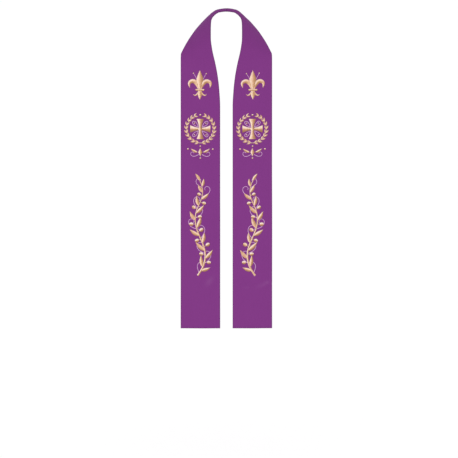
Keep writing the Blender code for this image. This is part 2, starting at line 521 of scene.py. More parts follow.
def finish_mesh(
    name: str, points: Array, quads: Array, uv: Array, tone: Array, finish: Material, sharp: float
) -> Object:
    """Makes a named object of one quad mesh, with its UV map, its tone attribute and its finish.

    Args:
        name: the piece's name.
        points: vertices, one a row.
        quads: four vertex numbers a row.
        uv: map place of each vertex, in metres.
        tone: one number from 0 to 1 a vertex, which the finish reads.
        finish: its material.
        sharp: edges that turn by more than this many degrees are shaded sharp.

    Returns:
        The object, at the origin.
    """
    mesh = bpy.data.meshes.new(name)
    mesh.vertices.add(len(points))
    mesh.vertices.foreach_set("co", points.astype(np.float32).ravel())
    mesh.loops.add(quads.size)
    mesh.loops.foreach_set("vertex_index", quads.astype(np.int32).ravel())
    mesh.polygons.add(len(quads))
    mesh.polygons.foreach_set("loop_start", np.arange(0, quads.size, 4, dtype=np.int32))
    mesh.update(calc_edges=True)
    layer = mesh.uv_layers.new(name="metres")
    layer.data.foreach_set("uv", uv[quads.ravel()].astype(np.float32).ravel())
    attribute = mesh.attributes.new("tone", "FLOAT", "POINT")
    attribute.data.foreach_set("value", tone.astype(np.float32))
    form = bmesh.new()
    form.from_mesh(mesh)
    bmesh.ops.remove_doubles(form, verts=form.verts, dist=1e-7)
    bmesh.ops.recalc_face_normals(form, faces=form.faces)
    form.to_mesh(mesh)
    form.free()
    mesh.shade_smooth()
    mesh.set_sharp_from_angle(angle=math.radians(sharp))
    mesh.materials.append(finish)
    piece = bpy.data.objects.new(name, mesh)
    bpy.context.scene.collection.objects.link(piece)
    LOG.info("%s: %d quads", name, len(mesh.polygons))
    return piece


@dataclass
class ClothHalf:
    """One half of the stole's cloth: a closed shell with round pressed edges.

    Its edges are turned under: the reverse steps up over the allowances, and the face shows them
    as a faint soft rise. Both fade out over the last of the way to an edge.
    """

    form: ClothForm
    row_step: float = 2.5 * MM
    columns: int = 40
    side_allowance: float = 9.0 * MM
    hem_allowance: float = 24.0 * MM
    seam_allowance: float = 12.0 * MM
    turned_rise: float = 0.5 * MM
    turned_blend: float = 0.3 * MM
    imprint_rise: float = 0.18 * MM
    imprint_blend: float = 4.0 * MM
    pucker_rise: float = 0.10 * MM
    pucker_lengths: Pair = (4.1 * MM, 11.3 * MM)
    pucker_width: float = 6.0 * MM
    fade_width: float = 2.0 * MM
    painted_edge_shade_width: float = 5.0 * MM
    round_steps = np.array([0.0, 0.06, 0.2, 0.45, 0.8, 1.3, 2.2]) * MM
    fold_steps = np.array([-0.5, -0.15, 0.15, 0.5]) * MM

    def edge_steps(self, allowance: float) -> Array:
        """Distances from an edge at which the shell has points: round edge, then the fold's step."""
        flat = np.linspace(self.round_steps[-1], allowance + self.fold_steps[0], 4)[1:-1]
        return np.concatenate([self.round_steps, flat, allowance + self.fold_steps])

    def rows(self) -> Array:
        """Places down the cloth: close together at the seam and the hem, even between.

        Returns:
            Metres from the seam, one number a row of points.
        """
        seam, hem = self.edge_steps(self.seam_allowance), self.edge_steps(self.hem_allowance)
        count = int((self.form.length - seam[-1] - hem[-1]) / self.row_step)
        middle = np.linspace(seam[-1], self.form.length - hem[-1], count)
        return np.concatenate([seam[:-1], middle, self.form.length - hem[-2::-1]])

    def shares(self, down: Array) -> Array:
        """Shares across the cloth: close together at both edges, even between.

        Args:
            down: metres from the seam behind the neck, one number a row of points.

        Returns:
            One row of shares for each of them.
        """
        near = self.edge_steps(self.side_allowance)
        width = self.form.widths(down)[:, None]
        middle = near[-1] + (width - 2 * near[-1]) * np.linspace(0, 1, self.columns)[None, :]
        left = np.broadcast_to(near[:-1], (len(down), len(near) - 1))
        return np.concatenate([left, middle, width - left[:, ::-1]], axis=1) / width

    def half_thickness(self, to_edge: Array) -> Array:
        """Half the cloth's thickness: a quarter circle from the edge inwards, then even."""
        radius = CLOTH_THICKNESS / 2
        return radius * np.sqrt(1 - np.clip(1 - to_edge / radius, 0, 1) ** 2)

    def turned(self, down: Array, to_side: Array, blend: float) -> Array:
        """Where the allowances lie: 1 over them and 0 past them, over this width of blend.

        Args:
            down: metres from the seam behind the neck.
            to_side: metres from the nearer side edge.
            blend: how wide the step between the two is, in metres.

        Returns:
            The largest of one less a smoothstep for the sides, the hem and the seam.
        """
        places = (
            (to_side, self.side_allowance),
            (self.form.length - down, self.hem_allowance),
            (down, self.seam_allowance),
        )
        covers = [1 - smoothstep((distance - edge) / blend + 0.5) for distance, edge in places]
        return np.max(covers, axis=0)

    def puckers(self, down: Array, to_side: Array) -> Array:
        """Small uneven puckers near the side edges: a product of two sine waves of unlike length.

        Args:
            down: metres from the seam behind the neck.
            to_side: metres from the nearer side edge.

        Returns:
            How far each place rises, in metres.
        """
        short, long = self.pucker_lengths
        wave = np.sin(down / short) * np.sin(down / long + 1.0)
        return self.pucker_rise * wave * np.exp(-((to_side / self.pucker_width) ** 2))

    def painted_edge_shade(self, to_edge: Array) -> Array:
        """Tone of the cloth: plain in the open, rising to 1 on its edges by a power of 1.5, which paints
        shade along the round edges.
        """
        near = np.clip(1 - to_edge / self.painted_edge_shade_width, 0, 1) ** 1.5
        return PLAIN_TONE + (1 - PLAIN_TONE) * near

    def painted_highlights(self, down: Array, share: Array, width: Array) -> Array:
        """How much lighter the painted highlights on small ridges make the tone of the face: the plain
        tone times their cover.
        """
        covers = [highlight.amount * highlight.cover(down, share, width) for highlight in PAINTED_HIGHLIGHTS[self.form.side]]
        return PLAIN_TONE * np.sum(covers, axis=0)

    def build(self, finish: Material) -> Object:
        """Builds the shell: a face and a reverse, two sheets of points that share their outer ring.

        Args:
            finish: the cloth's material.

        Returns:
            The piece.
        """
        down_rows = self.rows()
        shares = self.shares(down_rows)
        count, across = shares.shape
        down, share = np.repeat(down_rows, across), shares.ravel()
        width = self.form.widths(down)
        to_side = np.minimum(share, 1 - share) * width
        to_edge = np.minimum(to_side, np.minimum(down, self.form.length - down))
        rise = self.imprint_rise * self.turned(down, to_side, self.imprint_blend)
        rise += self.puckers(down, to_side)
        sunk = self.turned_rise * self.turned(down, to_side, self.turned_blend)
        fade = np.clip(to_edge / self.fade_width, 0, 1)
        half, middle = self.half_thickness(to_edge), -CLOTH_THICKNESS / 2
        face = self.form.points(down, share, middle + half + rise * fade)
        reverse = self.form.points(down, share, middle - half - sunk * fade)
        face[:across, 0] = 0
        reverse[:across, 0] = 0
        quads = grid_quads(np.arange(count * across).reshape(count, across))
        # The tone paints shade along the edges, and the face's tone also holds painted highlights on
        # small ridges.
        tone = self.painted_edge_shade(to_edge)
        face_tone = np.clip(tone - self.painted_highlights(down, share, width), 0, 1)
        return finish_mesh(
            f"cloth_{self.form.side.word}",
            np.concatenate([face, reverse]),
            np.concatenate([quads, quads[:, ::-1] + count * across]),
            np.tile(np.stack([(share - 0.5) * width, down], axis=1), (2, 1)),
            np.concatenate([face_tone, tone]),
            finish,
            sharp=60,
        )


@dataclass
class HemStitches:
    """The slip stitches that hold the turned edges down, on the reverse of one half."""

    cloth: ClothHalf
    pitch: float = 4.5 * MM
    half_length: float = 1.6 * MM
    half_width: float = 0.30 * MM
    height: float = 0.26 * MM
    sunk_share: float = 0.6
    corner_gap: float = 2.0 * MM
    slant: float = 35.0
    rows: int = 6
    columns: int = 4

    def centres(self) -> tuple[Array, Array, Array]:
        """Where the stitches lie: along both side allowances, then along the hem's.

        Returns:
            Metres down the cloth, share across it, and whether the stitch is one of the hem's.
        """
        form, cloth = self.cloth.form, self.cloth
        hem_down = form.length - cloth.hem_allowance
        down = np.arange(cloth.seam_allowance, hem_down - self.corner_gap, self.pitch)
        inset = cloth.side_allowance / form.widths(down)
        hem_width = form.widths(np.array([hem_down]))[0]
        hem_end = hem_width - cloth.side_allowance
        hem = np.arange(cloth.side_allowance + self.corner_gap, hem_end, self.pitch)
        places = np.concatenate([down, down, np.full(len(hem), hem_down)])
        shares = np.concatenate([inset, 1 - inset, hem / hem_width])
        return places, shares, np.arange(len(places)) >= 2 * len(down)

    def build(self, finish: Material) -> Object:
        """Builds the stitches, each a small closed pillow.

        Its height is the root of (1 - a squared)(1 - b squared) for places a along and b across it.

        Args:
            finish: the thread's material.

        Returns:
            The piece.
        """
        form = self.cloth.form
        ends = close_at_ends(self.rows), close_at_ends(self.columns)
        along, across = (grid.ravel() for grid in np.meshgrid(*ends, indexing="ij"))
        down, share, along_hem = self.centres()
        slant = np.radians(np.where(along_hem, 90 - self.slant, self.slant))[:, None]
        run, aside = along * self.half_length, across * self.half_width
        place = down[:, None] + run * np.cos(slant) - aside * np.sin(slant)
        width = form.widths(down)[:, None]
        over = share[:, None] * width + run * np.sin(slant) + aside * np.cos(slant)
        lying = self.cloth.turned_rise * 0.5 + CLOTH_THICKNESS
        swell = np.sqrt(np.maximum((1 - along**2) * (1 - across**2), 0))
        sheets = []
        for height in (self.height, -self.sunk_share * self.height):
            lift = np.broadcast_to(-lying - height * swell, place.shape)
            sheets.append(form.points(place.ravel(), (over / width).ravel(), lift.ravel()))
        size = self.rows * self.columns
        quad = grid_quads(np.arange(size).reshape(self.rows, self.columns))
        tops = (quad[None] + size * np.arange(len(down))[:, None, None]).reshape(-1, 4)
        flat = np.tile(np.stack([over.ravel(), place.ravel()], axis=1), (2, 1))
        return finish_mesh(
            f"hem_stitches_{form.side.word}",
            np.concatenate(sheets),
            np.concatenate([tops, tops[:, ::-1] + size * len(down)]),
            flat,
            np.full(len(flat), PLAIN_TONE),
            finish,
            sharp=80,
        )


@dataclass(frozen=True)
class Satin:
    """How one band of satin stitch is worked: its profile, the tones of its painted highlight side and
    its painted shade side, and its slant.

    It is padded by what it is raised, and its fullness multiplies its swell.
    """

    profile: Profile
    light: float
    dark: float
    slant: float = 20.0
    raised: float = 0.0
    fullness: float = 1.0


# light is the tone of a band's painted highlight side, facing the light, and dark the tone of its
# painted shade side.
STEM = Satin(Profile.DOME, light=0.95, dark=0.15)
LEAF = Satin(Profile.LEAF, light=0.92, dark=0.10, slant=35)
FRUIT = Satin(Profile.DOME, light=1.00, dark=0.10, slant=0, raised=0.5 * MM, fullness=1.5)
PETAL = Satin(Profile.LEAF, light=0.90, dark=0.20, slant=30)
BAND = Satin(Profile.DOME, light=0.85, dark=0.25, slant=8, raised=0.5 * MM)
ARM = Satin(Profile.ROOF, light=0.95, dark=0.10, slant=28)
CORD = Satin(Profile.DOME, light=0.90, dark=0.35, slant=30, fullness=1.3)


@dataclass
class Stitching:
    """Bands of satin stitch in one thread, gathered into one piece.

    A band is a ribbon laid along a flat path. Its top is a row of points across it, raised as its
    profile says, with a ridge for each turn of thread; its underside is flat and its ends closed.
    """

    name: str
    form: ClothForm
    slot: Slot = Slot.GOLD
    points_across: int = 10
    thread: float = 1.2 * MM
    ridge: float = 0.18 * MM
    least_half_width: float = 0.12 * MM
    full_half_width: float = 1.2 * MM
    swell: Pair = (0.35 * MM, 0.16)
    most_swell: float = 1.5 * MM
    sunk_margin: float = 0.15 * MM
    roof_dome: float = 0.35
    vein: Pair = (0.55, 0.16)
    # The tone paints light and shade: the side facing light_from is lighter, and the margins and the
    # grooves between turns are darker.
    light_from: Pair = (-0.6, 0.8)
    blend: float = 3.0
    uneven: float = 0.20
    scatter: Pair = (12.9898, 437.585)
    groove_painted_shade: float = 0.20
    margin: float = 0.16
    bands: list[tuple[Array, ...]] = field(default_factory=list)
    count: int = 0

    @property
    def spacing(self) -> float:
        """Distance between rows of points: four to a turn of thread."""
        return self.thread / 4

    def shade(self, w: Array, left: Array, turn: Array, work: Satin) -> Array:
        """Tone of each point of a band, with painted light and shade: the light tone on the side facing
        the light.

        The lit side is where w has the sign of the part of the leftward direction that faces the light.
        A hyperbolic tangent passes between the painted highlight and the painted shade, the margins get
        a little painted shade, and each turn of thread differs a little, by the fraction of a large
        multiple of its sine. The grooves between turns get painted shade too.

        Args:
            w: places across the band, from -1 on its right to 1 on its left.
            left: leftward direction at each row.
            turn: how many turns of thread lie before each point.
            work: how the band is worked.

        Returns:
            One number from 0 to 1 a point.
        """
        facing = left @ (np.array(self.light_from) * np.array([self.form.side.value, 1]))
        lit = 0.5 + 0.5 * np.tanh(self.blend * facing[:, None] * w)
        step, spread = self.scatter
        uneven = np.modf(np.abs(np.sin(np.floor(turn) * step) * spread))[0] - 0.5
        groove = (1 - np.abs(np.sin(math.pi * turn))) ** 2
        tone = work.dark + (work.light - work.dark) * lit + self.uneven * uneven
        return np.clip(tone - (self.margin * w**8 + self.groove_painted_shade * groove), 0, 1)

    def band(self, path: Array, half_width: Array, work: Satin) -> None:
        """Adds one band of satin stitch.

        The height is the profile of w, which runs from -1 to 1 across the band: a half circle for
        a dome, mostly one less the size of w for a roof, and a dome with a vein down its middle for
        a leaf. It grows with the band's width. The ridges are the size of a sine of the distance
        along the band, slanted by a share of the distance from its middle.

        Args:
            path: middle line in the design, evenly spaced points, one a row.
            half_width: half the band's width at each of them.
            work: how it is worked.
        """
        heading = np.gradient(path, axis=0)
        heading /= np.maximum(np.linalg.norm(heading, axis=1, keepdims=True), 1e-12)
        left = np.stack([-heading[:, 1], heading[:, 0]], axis=1)
        half_width = np.maximum(half_width, self.least_half_width)[:, None]
        w = close_at_ends(self.points_across)
        flat = path[:, None, :] + left[:, None, :] * (half_width * w)[..., None]
        lean = w if work.profile is Profile.DOME else np.abs(w)
        laid = distances(path)[:, None] - math.tan(math.radians(work.slant)) * lean * half_width
        turn = laid / self.thread
        dome = np.sqrt(np.maximum(1 - w**2, 0))
        vein, vein_width = self.vein
        shape = {
            Profile.DOME: dome,
            Profile.ROOF: self.roof_dome * dome + (1 - self.roof_dome) * (1 - np.abs(w)),
            Profile.LEAF: dome * (1 - vein * np.exp(-((w / vein_width) ** 2))),
        }[work.profile]
        swell = np.minimum(self.swell[0] + self.swell[1] * half_width, self.most_swell) * work.fullness
        swell = swell * np.clip(half_width / self.full_half_width, 0, 1)
        ridges = self.ridge * np.abs(np.sin(math.pi * turn)) * dome
        lift = work.raised * dome + swell * shape + ridges
        lift[:, [0, -1]] = -self.sunk_margin
        across = len(w)
        number = self.count + np.arange(len(path) * across).reshape(len(path), across)
        under = np.stack([number[:-1, 0], number[:-1, -1], number[1:, -1], number[1:, 0]], axis=-1)
        j = np.arange(across // 2 - 1)
        caps = [
            np.stack([end[j], end[j + 1], end[across - 2 - j], end[across - 1 - j]], axis=-1)
            for end in (number[0], number[-1])
        ]
        points = self.form.on_panel(flat.reshape(-1, 2), lift.ravel())
        quads = np.concatenate([grid_quads(number), under, *caps])
        uv = np.stack([(half_width * w).ravel(), laid.ravel()], axis=1)
        self.bands.append((points, quads, uv, self.shade(w, left, turn, work).ravel()))
        self.count += number.size

    def strip(self, path: Array, half_widths: Pair, work: Satin) -> Array:
        """Adds a band along a path, its half width passing evenly from the first to the last.

        Args:
            path: middle line in the design, one point a row.
            half_widths: half its width at its two ends.
            work: how it is worked.

        Returns:
            The middle line, evenly spaced.
        """
        path = even_steps(path, self.spacing)
        self.band(path, np.linspace(*half_widths, len(path)), work)
        return path

    def line(self, knots: Array, half_widths: Pair, work: Satin) -> Array:
        """Adds a strip on a smooth curve through a few points."""
        return self.strip(natural_spline(knots), half_widths, work)

    def leaf(self, foot: Pair, heading: float, size: Pair, bend: float, work: Satin) -> None:
        """Adds a pointed leaf or petal.

        Its heading turns evenly by the bend, and its half width is half the width times the sine
        of half a turn of the distance along it to the power 0.8.

        Args:
            foot: where it starts.
            heading: its first direction, in radians.
            size: its length and width.
            bend: how far it turns, in radians.
            work: how it is worked.
        """
        length, width = size
        t = np.linspace(0, 1, max(8, int(length / self.spacing)))
        path = turning_path(foot, heading, bend * t, length)
        self.band(path, width / 2 * np.sin(math.pi * t**0.8), work)

    def fruit(self, middle: Pair, heading: float, size: Pair) -> None:
        """Adds an oval fruit or bead: a straight band whose half width is that of an ellipse.

        Args:
            middle: its middle.
            heading: the direction of its length, in radians.
            size: its length and width.
        """
        length, width = size
        t = np.linspace(-1, 1, max(10, int(length / self.spacing)))
        path = np.asarray(middle) + t[:, None] * unit(heading) * length / 2
        self.band(path, width / 2 * np.sqrt(1 - t**2), FRUIT)

    def curl(self, foot: Pair, heading: float, size: Pair, winding: float) -> None:
        """Adds a thin curl, wound up towards its end, where it has lost 0.3 of its width.

        Its heading turns by the winding times the way along it to the power 2.2.

        Args:
            foot: where it starts.
            heading: its first direction, in radians.
            size: its length and width.
            winding: how far it turns, in radians.
        """
        length, width = size
        t = np.linspace(0, 1, max(12, int(length / self.spacing)))
        path = turning_path(foot, heading, winding * t**2.2, length)
        self.band(path, width / 2 * (1 - 0.3 * t), CORD)

    def build(self, materials: dict[Slot, Material]) -> Object:
        """Joins the bands into one named piece, in the material of its slot."""
        parts = [np.concatenate(part) for part in zip(*self.bands)]
        return finish_mesh(f"{self.name}_{self.form.side.word}", *parts, materials[self.slot], sharp=55)


@dataclass(frozen=True)
class Shoot:
    """What leaves a stem this share of the way up it.

    It leaves on the left of the stem's run for a side of 1 and on the right for -1, spread from it
    by so many degrees.
    """

    along: float
    side: int
    spread: float
    length: float


@dataclass(frozen=True)
class Sprig(Shoot):
    """A leaf this long and wide, or a fruit this wide on a stalk this long."""

    width: float


@dataclass(frozen=True)
class Curl(Shoot):
    """A thin curl, wound by so many radians in all."""

    winding: float


@dataclass
class Branch:
    """The olive branch: an S-shaped stem with leaves, fruit on short stalks and thin curls."""

    form: ClothForm
    foot: Pair = (0.0, 0.192)
    stem_half_widths: Pair = (3.5 * MM, 1.2 * MM)
    stalk_half_widths: Pair = (0.9 * MM, 0.7 * MM)
    leaf_bend: float = 24.0
    fruit_length: float = 1.12
    curl_width: float = 2.0 * MM

    stem = (
        (0.010, 0.000),
        (-0.010, 0.034),
        (-0.017, 0.084),
        (0.000, 0.136),
        (0.017, 0.186),
        (0.013, 0.236),
        (-0.005, 0.280),
        (-0.008, 0.314),
        (0.001, 0.342),
    )
    leaves = (
        Sprig(0.06, 1, 52, 0.036, 0.0125),
        Sprig(0.10, -1, 44, 0.044, 0.0135),
        Sprig(0.19, 1, 46, 0.042, 0.0135),
        Sprig(0.27, -1, 48, 0.046, 0.0140),
        Sprig(0.35, 1, 42, 0.040, 0.0130),
        Sprig(0.43, -1, 46, 0.042, 0.0135),
        Sprig(0.51, 1, 48, 0.046, 0.0140),
        Sprig(0.59, -1, 42, 0.038, 0.0130),
        Sprig(0.66, 1, 44, 0.042, 0.0130),
        Sprig(0.74, -1, 46, 0.038, 0.0125),
        Sprig(0.81, 1, 42, 0.036, 0.0120),
        Sprig(0.88, -1, 44, 0.034, 0.0115),
        Sprig(0.94, 1, 38, 0.030, 0.0105),
        Sprig(1.00, 1, 0, 0.032, 0.0105),
    )
    fruits = (
        Sprig(0.15, 1, 76, 0.016, 0.0130),
        Sprig(0.23, -1, 80, 0.015, 0.0135),
        Sprig(0.31, 1, 78, 0.016, 0.0140),
        Sprig(0.39, -1, 84, 0.015, 0.0135),
        Sprig(0.47, 1, 80, 0.015, 0.0140),
        Sprig(0.55, -1, 82, 0.016, 0.0140),
        Sprig(0.62, 1, 80, 0.016, 0.0130),
        Sprig(0.70, -1, 78, 0.014, 0.0130),
        Sprig(0.78, 1, 82, 0.014, 0.0125),
        Sprig(0.85, -1, 80, 0.013, 0.0120),
    )
    curls = (
        Curl(0.03, -1, 58, 0.078, 5.4),
        Curl(0.14, 1, 40, 0.088, 5.6),
        Curl(0.24, -1, 64, 0.084, 5.2),
        Curl(0.40, 1, 62, 0.090, 5.6),
        Curl(0.50, -1, 56, 0.082, 5.8),
        Curl(0.61, 1, 60, 0.084, 5.4),
        Curl(0.71, -1, 60, 0.080, 5.6),
        Curl(0.84, 1, 58, 0.076, 5.2),
        Curl(0.93, -1, 54, 0.068, 5.6),
    )

    def on_stem(self, path: Array, shoot: Shoot) -> tuple[Array, float]:
        """Where a shoot leaves the stem, and its heading."""
        foot, heading = place_on(path, shoot.along)
        return foot, heading + shoot.side * math.radians(shoot.spread)

    def stitch(self) -> list[Stitching]:
        """Works the branch.

        Returns:
            Its stem, stalks and leaves, its fruit, and its lilac curls.
        """
        work = Stitching("olive_branch", self.form)
        fruit = Stitching("olives", self.form)
        curls = Stitching("olive_curls", self.form, Slot.LILAC)
        path = work.line(np.array(self.stem) + self.foot, self.stem_half_widths, STEM)
        for leaf in self.leaves:
            foot, heading = self.on_stem(path, leaf)
            bend = -leaf.side * math.radians(self.leaf_bend)
            work.leaf(foot, heading, (leaf.length, leaf.width), bend, LEAF)
        for sprig in self.fruits:
            foot, heading = self.on_stem(path, sprig)
            end = foot + unit(heading) * sprig.length
            work.line(np.array([foot, end]), self.stalk_half_widths, STEM)
            fruit.fruit(end, heading, (sprig.width * self.fruit_length, sprig.width))
        for curl in self.curls:
            foot, heading = self.on_stem(path, curl)
            curls.curl(foot, heading, (curl.length, self.curl_width), -curl.side * curl.winding)
        return [work, fruit, curls]


@dataclass
class Lily:
    """The lily at the top of a panel: three petals above a band, tails and a foot below it."""

    form: ClothForm
    foot: Pair = (0.0945 - PANEL_MIDDLE, 0.825)
    band_up: float = 0.0345
    band_reach: float = 0.0155
    band_half_width: float = 3.4 * MM
    overlap: float = 2.0 * MM
    top_petal: Pair = (0.069, 0.026)
    foot_petal: Pair = (0.0325, 0.0150)
    side_petal_swell: Pair = (1.0 * MM, 6.4 * MM)
    side_petal_hurry: float = 1.03
    tail_swell: float = 3.2 * MM
    stamen_half_widths: Pair = (0.85 * MM, 0.65 * MM)
    bead: Pair = (5.0 * MM, 4.4 * MM)

    side_petal = ((0.004, 0.036), (0.011, 0.055), (0.025, 0.066), (0.037, 0.060), (0.036, 0.043))
    tail = ((0.003, 0.033), (0.009, 0.020), (0.019, 0.015), (0.025, 0.021))
    stamen = ((0.006, 0.050), (0.014, 0.078), (0.023, 0.094))

    def stitch(self) -> list[Stitching]:
        """Works the lily and its two stamens, each tipped with a bead.

        The half width of a side petal is its first swell plus its second times the sine of half a
        turn over its length, a little hurried, to the power 0.8. A tail's is its swell times a sine
        that starts a fifth of the way through.

        Returns:
            The gold work and the lilac stamens.
        """
        work = Stitching("lily_stitching", self.form)
        lines = Stitching("lily_stamens", self.form, Slot.LILAC)
        upright = math.pi / 2
        band = np.array(self.foot) + np.array([0.0, self.band_up])
        for side in (-1, 1):
            stamen, tail, petal = (
                np.array(knots) * np.array([side, 1]) + np.array(self.foot)
                for knots in (self.stamen, self.tail, self.side_petal)
            )
            lines.line(stamen, self.stamen_half_widths, CORD)
            work.fruit(stamen[-1], upright, self.bead)
            path = even_steps(natural_spline(tail), work.spacing)
            t = np.linspace(0.2, 1, len(path))
            work.band(path, self.tail_swell * np.sin(math.pi * t), PETAL)
            path = even_steps(natural_spline(petal), work.spacing)
            t = np.clip(np.linspace(0, 1, len(path)) * self.side_petal_hurry, 0, 1)
            least, more = self.side_petal_swell
            work.band(path, least + more * np.sin(math.pi * t) ** 0.8, PETAL)
        rise, reach = np.array([0.0, self.overlap]), np.array([self.band_reach, 0.0])
        work.leaf(band + rise, upright, self.top_petal, 0.0, PETAL)
        work.leaf(band - rise, -upright, self.foot_petal, 0.0, PETAL)
        work.strip(np.array([band - reach, band + reach]), (self.band_half_width,) * 2, BAND)
        return [work, lines]


@dataclass
class WreathedCross:
    """The cross with four equal arms, a petal outline in each corner, and the laurel wreath."""

    form: ClothForm
    middle: Pair = (0.0, CROSS_MIDDLE)
    reach: float = 0.036
    waist: float = 4.5 * MM
    flare: float = 13.5 * MM
    boss: float = 15.0 * MM
    loop_ends: Pair = (0.010, 0.0375)
    loop_half_width: float = 7.5 * MM
    loop_thread: float = 0.9 * MM
    loop_points: int = 120
    bead: float = 4.8 * MM
    ring: float = 0.050
    ring_points: int = 200
    ring_ends: Pair = (-90.0, 72.0)
    ring_half_widths: Pair = (1.2 * MM, 0.8 * MM)
    leaf_pairs: int = 10
    leaf_places: Pair = (0.05, 0.95)
    leaf_size: Pair = (15.0 * MM, 6.0 * MM)
    leaf_spread: float = 38.0
    leaf_bend: float = 26.0
    crown: Pair = (7.0 * MM, 6.4 * MM)

    def cross(self) -> Stitching:
        """Works the arms, whose half width grows as the square of the way out, and the boss.

        Returns:
            The piece.
        """
        work = Stitching("cross_stitching", self.form, points_across=14)
        t = np.linspace(0, 1, int(self.reach / work.spacing))
        for turn in range(4):
            path = np.array(self.middle) + t[:, None] * self.reach * unit(turn * math.pi / 2)
            work.band(path, self.waist + (self.flare - self.waist) * t**2, ARM)
        work.fruit(self.middle, math.pi / 2, (self.boss, self.boss))
        return work

    def corners(self) -> list[Stitching]:
        """Works the four petal outlines and the bead in each.

        With p from 0 to a whole turn, a point of an outline lies half of one less the cosine of p
        of the way out, and the sine of p times the sine of half of p aside. The bead lies seven
        tenths of the way out.

        Returns:
            The lilac outlines and the beads.
        """
        outlines = Stitching("cross_petals", self.form, Slot.LILAC)
        beads = Stitching("cross_beads", self.form)
        near, far = self.loop_ends
        p = np.linspace(0, 2 * math.pi, self.loop_points)
        out = near + (far - near) * (1 - np.cos(p)) / 2
        aside = self.loop_half_width * np.sin(p) * np.sin(p / 2)
        for corner in range(4):
            angle = math.radians(45 + 90 * corner)
            run = unit(angle)
            over = np.array([-run[1], run[0]])
            loop = np.array(self.middle) + out[:, None] * run + aside[:, None] * over
            outlines.strip(loop, (self.loop_thread,) * 2, CORD)
            place = self.middle + (0.3 * near + 0.7 * far) * run
            beads.fruit(place, angle, (self.bead, self.bead))
        return [outlines, beads]

    def wreath(self) -> Stitching:
        """Works the wreath: two leafy stems from the foot of the ring, and a fruit at its top.

        Returns:
            The piece.
        """
        work = Stitching("wreath", self.form)
        angle = np.radians(np.linspace(*self.ring_ends, self.ring_points))
        for side in (-1, 1):
            ring = self.middle + self.ring * np.stack([side * np.cos(angle), np.sin(angle)], axis=1)
            path = work.strip(ring, self.ring_half_widths, STEM)
            for along in np.linspace(*self.leaf_places, self.leaf_pairs):
                foot, heading = place_on(path, along)
                for way in (-1, 1):
                    spread, bend = np.radians([self.leaf_spread, -self.leaf_bend]) * way
                    work.leaf(foot, heading + spread, self.leaf_size, bend, LEAF)
        work.fruit((0.0, self.middle[1] + self.ring), 0.0, self.crown)
        return work

    def stitch(self) -> list[Stitching]:
        """Works the cross, its corners and its wreath."""
        return [self.cross(), *self.corners(), self.wreath()]


@dataclass
class Pendant:
    """The small drop below the wreath: a lozenge among beads, two curved leaves and two curls."""

    form: ClothForm
    middle: float = CROSS_MIDDLE - 0.083
    height: float = 0.030
    half_width: float = 7.5 * MM
    points: int = 80
    leaf_out: float = 0.010
    leaf_size: Pair = (0.028, 0.0085)
    leaf_drop: float = 82.0
    leaf_bend: float = 0.75
    curl_foot: Pair = (0.006, -0.008)
    curl_size: Pair = (0.052, 2.0 * MM)
    curl_drop: float = 58.0
    curl_winding: float = 5.2
    side_bead: Pair = (0.0445, 0.011)
    side_bead_size: Pair = (6.4 * MM, 6.4 * MM)
    end_bead_up: float = 0.0215
    end_bead_size: Pair = (5.6 * MM, 5.6 * MM)

    def stitch(self) -> list[Stitching]:
        """Works the pendant.

        Returns:
            The gold work and the lilac curls.
        """
        work = Stitching("pendant", self.form)
        curls = Stitching("pendant_curls", self.form, Slot.LILAC)
        t = np.linspace(0, 1, self.points)
        path = np.array([0.0, self.middle]) + (t[:, None] - 0.5) * np.array([0.0, self.height])
        work.band(path, self.half_width * (1 - np.abs(2 * t - 1)), ARM)
        for side in (-1, 1):
            heading = math.pi / 2 - side * math.radians(self.leaf_drop)
            foot = (side * self.leaf_out, self.middle)
            work.leaf(foot, heading, self.leaf_size, side * self.leaf_bend, LEAF)
            bead = (side * self.side_bead[0], self.middle + self.side_bead[1])
            work.fruit(bead, 0.0, self.side_bead_size)
            heading = -math.pi / 2 + side * math.radians(self.curl_drop)
            foot = (side * self.curl_foot[0], self.middle + self.curl_foot[1])
            curls.curl(foot, heading, self.curl_size, side * self.curl_winding)
        for up in (-self.end_bead_up, self.end_bead_up):
            work.fruit((0.0, self.middle + up), 0.0, self.end_bead_size)
        return [work, curls]


@dataclass
class Wiring:
    """A shader node tree that is being wired up."""

    tree: NodeTree

    def fill(self, node: Node, inputs: Inputs) -> Node:
        """Links each input that is given a socket, and sets each one that is given a value.

        Args:
            node: a node of the tree.
            inputs: a socket or a value for each input, by its name or number.

        Returns:
            The same node.
        """
        for key, given in inputs.items():
            if isinstance(given, NodeSocket):
                self.tree.links.new(given, node.inputs[key])
            else:
                node.inputs[key].default_value = given
        return node

    def add(self, kind: str, inputs: Inputs, **settings: object) -> Node:
        """Adds a node.

        Args:
            kind: its type.
            inputs: a socket or a value for each input, by its name or number.
            settings: its other settings, made before its inputs are filled.

        Returns:
            The node.
        """
        node = self.tree.nodes.new(kind)
        for name, value in settings.items():
            setattr(node, name, value)
        return self.fill(node, inputs)

    def maths(self, operation: str, *values: float | NodeSocket) -> NodeSocket:
        """Output of a Math node on one or two numbers or sockets."""
        return self.add("ShaderNodeMath", dict(enumerate(values)), operation=operation).outputs[0]

    def place(self, group: NodeTree, inputs: Inputs) -> NodeSocket:
        """Output of a shared group that is placed with these inputs."""
        return self.add("ShaderNodeGroup", inputs, node_tree=group).outputs[0]


